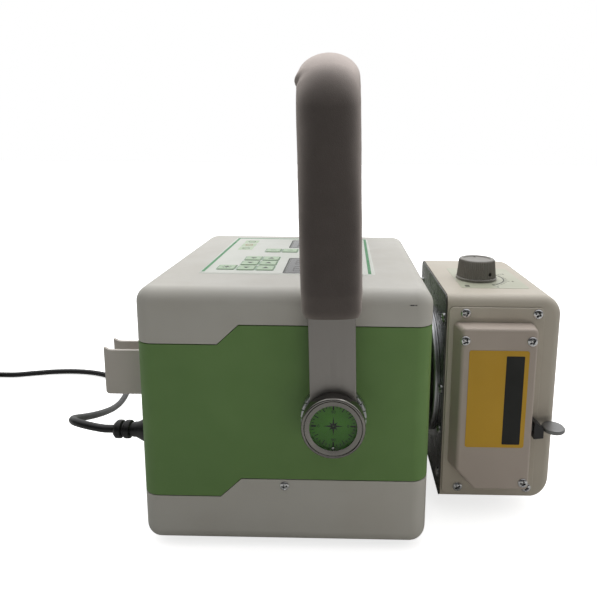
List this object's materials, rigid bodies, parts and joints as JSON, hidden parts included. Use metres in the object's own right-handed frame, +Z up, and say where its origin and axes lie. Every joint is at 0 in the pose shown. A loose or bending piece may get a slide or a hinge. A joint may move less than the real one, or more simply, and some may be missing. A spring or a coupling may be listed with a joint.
{
  "type": "portable x-ray generator",
  "caption": "Portable x-ray generator: box housing with a swing carrying handle, swivelling collimator with knob-driven shutters, key panel and free mains lead.",
  "frame": {"origin": "middle of the footprint between the switch holder's tip and the tape tab's front, at the height of the feet", "axes": "+X forward along the beam, +Y from the near wall to the far wall, +Z up"},
  "size_m": [0.8311, 0.3715, 0.408],
  "materials": {
    "cover_white": "satin",
    "band_green": "satin",
    "foot_rubber": "matte",
    "panel_film": "satin",
    "display_window": "gloss",
    "key_film": "satin",
    "tray_aluminium": "satin",
    "vessel_plastic": "satin",
    "tube_glass": "gloss",
    "transformer_core": "satin",
    "circuit_board": "satin",
    "collar_black": "satin",
    "ring_aluminium": "satin",
    "collimator_cream": "satin",
    "rear_plate_dark": "satin",
    "window_clear": "gloss",
    "tape_outlet_black": "satin",
    "tape_steel": "polished",
    "blade_steel": "satin",
    "mirror_glass": "mirror",
    "lamp_black": "satin",
    "knob_grey": "satin",
    "hub_grey": "satin",
    "lens_clear": "gloss",
    "ball_chrome": "polished",
    "strap_aluminium": "satin",
    "grip_foam": "matte",
    "holder_white": "satin",
    "inlet_black": "satin",
    "connector_black": "satin",
    "lead_black": "satin"
  },
  "bodies": {
    "housing": {"base_cover": "cover_white", "top_cover": "cover_white", "middle_band": "band_green", "rubber_foot_1": "foot_rubber", "rubber_foot_2": "foot_rubber", "rubber_foot_3": "foot_rubber", "rubber_foot_4": "foot_rubber", "panel_sheet": "panel_film", "main_display": "display_window", "status_display": "display_window", "chassis_tray": "tray_aluminium", "generator_vessel": "vessel_plastic", "xray_tube": "tube_glass", "high_voltage_transformer": "transformer_core", "inverter_board": "circuit_board", "control_board": "circuit_board", "beam_collar": "collar_black", "near_detent_ring": "ring_aluminium", "far_detent_ring": "ring_aluminium", "near_hub_cap": "hub_grey", "far_hub_cap": "hub_grey", "near_lens": "lens_clear", "far_lens": "lens_clear", "switch_holder": "holder_white", "power_entry": "inlet_black", "lead_connector": "connector_black", "mains_plug": "connector_black", "mains_lead": "lead_black", "lead_coil": "lead_black"},
    "handle": {"handle_strap": "strap_aluminium", "foam_grip": "grip_foam"},
    "near_ball": {"near_level_ball": "ball_chrome"},
    "far_ball": {"far_level_ball": "ball_chrome"},
    "collimator": {"swivel_ring": "ring_aluminium", "collimator_shell": "collimator_cream", "collimator_rear_plate": "rear_plate_dark", "front_window": "window_clear", "side_plate": "collimator_cream", "side_box": "collimator_cream", "tape_outlet": "tape_outlet_black", "blade_guide": "blade_steel", "light_mirror": "mirror_glass", "field_light": "lamp_black"},
    "top_knob": {"top_knob": "knob_grey"},
    "far_knob": {"far_knob": "knob_grey"},
    "near_blade": {"near_blade": "blade_steel"},
    "far_blade": {"far_blade": "blade_steel"},
    "lower_blade": {"lower_blade": "blade_steel"},
    "upper_blade": {"upper_blade": "blade_steel"},
    "tape": {"tape_tab": "tape_steel"},
    "rocker": {"power_rocker": "inlet_black"},
    "lamp_key": {"lamp_key": "key_film"},
    "lower_key_1": {"lower_key_1": "key_film"},
    "lower_key_2": {"lower_key_2": "key_film"},
    "lower_key_3": {"lower_key_3": "key_film"},
    "raise_key_1": {"raise_key_1": "key_film"},
    "raise_key_2": {"raise_key_2": "key_film"},
    "raise_key_3": {"raise_key_3": "key_film"},
    "memory_key_1": {"memory_key_1": "key_film"},
    "memory_key_2": {"memory_key_2": "key_film"}
  },
  "joints": [
    {"name": "handle_swing", "type": "hinge", "parent": "housing", "child": "handle", "pos_m": [-0.0025, 0, 0.1246], "axis": [0, 1, 0], "range_deg": [-80, 90]},
    {"name": "near_ball_roll", "type": "hinge", "parent": "housing", "child": "near_ball", "pos_m": [-0.0025, -0.1285, 0.1246], "axis": [0, 1, 0], "continuous": true},
    {"name": "far_ball_roll", "type": "hinge", "parent": "housing", "child": "far_ball", "pos_m": [-0.0025, 0.1285, 0.1246], "axis": [0, 1, 0], "continuous": true},
    {"name": "collimator_swivel", "type": "hinge", "parent": "housing", "child": "collimator", "pos_m": [0.0767, 0, 0.1125], "axis": [1, 0, 0], "range_deg": [-90, 90]},
    {"name": "top_knob_turn", "type": "hinge", "parent": "collimator", "child": "top_knob", "pos_m": [0.136, -0.0121, 0.2098], "axis": [0, 0, 1], "range_deg": [-150, 0]},
    {"name": "far_knob_turn", "type": "hinge", "parent": "collimator", "child": "far_knob", "pos_m": [0.136, 0.0753, 0.1125], "axis": [0, 1, 0], "range_deg": [-150, 0]},
    {"name": "near_blade_slide", "type": "slide", "parent": "collimator", "child": "near_blade", "axis": [0, -1, 0], "range_m": [0, 0.022]},
    {"name": "far_blade_slide", "type": "slide", "parent": "collimator", "child": "far_blade", "axis": [0, 1, 0], "range_m": [0, 0.022]},
    {"name": "lower_blade_slide", "type": "slide", "parent": "collimator", "child": "lower_blade", "axis": [0, 0, -1], "range_m": [0, 0.022]},
    {"name": "upper_blade_slide", "type": "slide", "parent": "collimator", "child": "upper_blade", "axis": [0, 0, 1], "range_m": [0, 0.022]},
    {"name": "tape_pull", "type": "slide", "parent": "collimator", "child": "tape", "axis": [1, 0, 0], "range_m": [0, 0.05], "stiffness_N_per_m": 20, "springref_m": -0.02},
    {"name": "rocker_tilt", "type": "hinge", "parent": "housing", "child": "rocker", "pos_m": [-0.1633, -0.0555, 0.088], "axis": [0, 1, 0], "range_deg": [-9, 0]},
    {"name": "lamp_key_press", "type": "slide", "parent": "housing", "child": "lamp_key", "axis": [0, 0, -1], "range_m": [0, 0.0004], "stiffness_N_per_m": 3000},
    {"name": "lower_key_1_press", "type": "slide", "parent": "housing", "child": "lower_key_1", "axis": [0, 0, -1], "range_m": [0, 0.0004], "stiffness_N_per_m": 3000},
    {"name": "lower_key_2_press", "type": "slide", "parent": "housing", "child": "lower_key_2", "axis": [0, 0, -1], "range_m": [0, 0.0004], "stiffness_N_per_m": 3000},
    {"name": "lower_key_3_press", "type": "slide", "parent": "housing", "child": "lower_key_3", "axis": [0, 0, -1], "range_m": [0, 0.0004], "stiffness_N_per_m": 3000},
    {"name": "raise_key_1_press", "type": "slide", "parent": "housing", "child": "raise_key_1", "axis": [0, 0, -1], "range_m": [0, 0.0004], "stiffness_N_per_m": 3000},
    {"name": "raise_key_2_press", "type": "slide", "parent": "housing", "child": "raise_key_2", "axis": [0, 0, -1], "range_m": [0, 0.0004], "stiffness_N_per_m": 3000},
    {"name": "raise_key_3_press", "type": "slide", "parent": "housing", "child": "raise_key_3", "axis": [0, 0, -1], "range_m": [0, 0.0004], "stiffness_N_per_m": 3000},
    {"name": "memory_key_1_press", "type": "slide", "parent": "housing", "child": "memory_key_1", "axis": [0, 0, -1], "range_m": [0, 0.0004], "stiffness_N_per_m": 3000},
    {"name": "memory_key_2_press", "type": "slide", "parent": "housing", "child": "memory_key_2", "axis": [0, 0, -1], "range_m": [0, 0.0004], "stiffness_N_per_m": 3000}
  ],
  "couplings": [
    {"joint": "top_knob_turn", "follows": "near_blade_slide", "rad_per_m": -118.99},
    {"joint": "far_blade_slide", "follows": "near_blade_slide", "ratio": 1},
    {"joint": "far_knob_turn", "follows": "lower_blade_slide", "rad_per_m": -118.99},
    {"joint": "upper_blade_slide", "follows": "lower_blade_slide", "ratio": 1}
  ]
}
